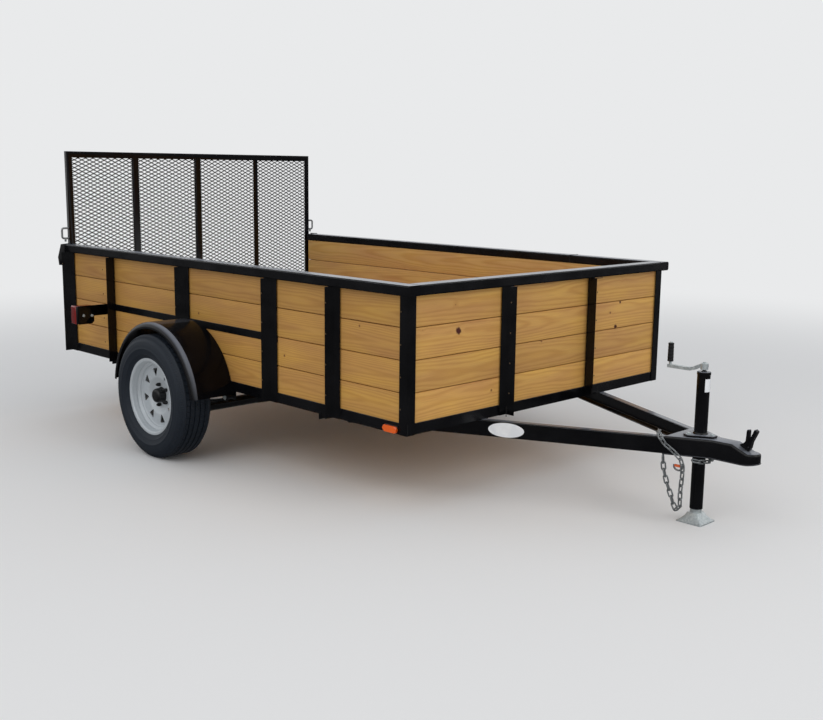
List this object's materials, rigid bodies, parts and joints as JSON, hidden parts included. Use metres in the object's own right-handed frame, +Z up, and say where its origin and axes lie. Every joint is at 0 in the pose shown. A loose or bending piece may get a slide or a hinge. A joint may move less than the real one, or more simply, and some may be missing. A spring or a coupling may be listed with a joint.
{
  "type": "utility trailer",
  "caption": "Utility trailer with plank walls in a steel angle frame, a drop-down mesh ramp gate, fenders over its wheels, a ball coupler and a screw jack.",
  "frame": {"origin": "on the ground under the middle of the trailer's overall length and width", "axes": "+X forward to the coupler, +Y to the trailer's left, +Z up"},
  "size_m": [4.1774, 2.465, 1.605],
  "materials": {
    "black_paint": "gloss",
    "silver_paint": "satin",
    "black_hub": "satin",
    "zinc": "zinc plated",
    "pine": "treated softwood",
    "tyre": "matte",
    "black_grip": "matte",
    "red_lens": "gloss",
    "amber_lens": "gloss"
  },
  "bodies": {
    "frame": {"main_rail_right": "black_paint", "main_rail_left": "black_paint", "main_rail_front": "black_paint", "main_rail_rear": "black_paint", "crossmembers": "black_paint", "deck_planks": "pine", "planks_right": "pine", "planks_left": "pine", "planks_front": "pine", "posts_right": "black_paint", "posts_left": "black_paint", "posts_front": "black_paint", "top_rail_right": "black_paint", "top_rail_left": "black_paint", "top_rail_front": "black_paint", "mid_rail_right": "black_paint", "mid_rail_left": "black_paint", "tongue_right": "black_paint", "tongue_left": "black_paint", "coupler": "black_paint", "coupler_latch": "black_paint", "jack_housing": "black_paint", "jack_crank": "zinc", "jack_grip": "black_grip", "axle": "black_paint", "leaf_springs": "black_paint", "spring_hangers": "black_paint", "fender_left": "black_paint", "fender_right": "black_paint", "gate_brackets": "black_paint", "lamp_bracket_right": "black_paint", "lamp_bracket_left": "black_paint", "tail_lamp_right": "red_lens", "tail_lamp_left": "red_lens", "side_markers": "amber_lens", "safety_chains": "zinc"},
    "wheel_left": {"tyre_left": "tyre", "rim_left": "silver_paint", "hub_left": "black_hub"},
    "wheel_right": {"tyre_right": "tyre", "rim_right": "silver_paint", "hub_right": "black_hub"},
    "gate": {"gate_frame": "black_paint", "gate_mesh": "black_paint", "gate_latches": "zinc"},
    "jack_leg": {"jack_inner_tube": "zinc", "jack_foot": "zinc"}
  },
  "joints": [
    {"name": "wheel_left_spin", "type": "hinge", "parent": "frame", "child": "wheel_left", "pos_m": [-0.73325, 1.13, 0.328], "axis": [0, 1, 0], "continuous": true},
    {"name": "wheel_right_spin", "type": "hinge", "parent": "frame", "child": "wheel_right", "pos_m": [-0.73325, -1.13, 0.328], "axis": [0, 1, 0], "continuous": true},
    {"name": "gate_hinge", "type": "hinge", "parent": "frame", "child": "gate", "pos_m": [-2.07075, 0, 0.405], "axis": [0, -1, 0], "range_deg": [0, 108]},
    {"name": "jack_slide", "type": "slide", "parent": "frame", "child": "jack_leg", "axis": [0, 0, 1], "range_m": [-0.25, 0.012]}
  ]
}
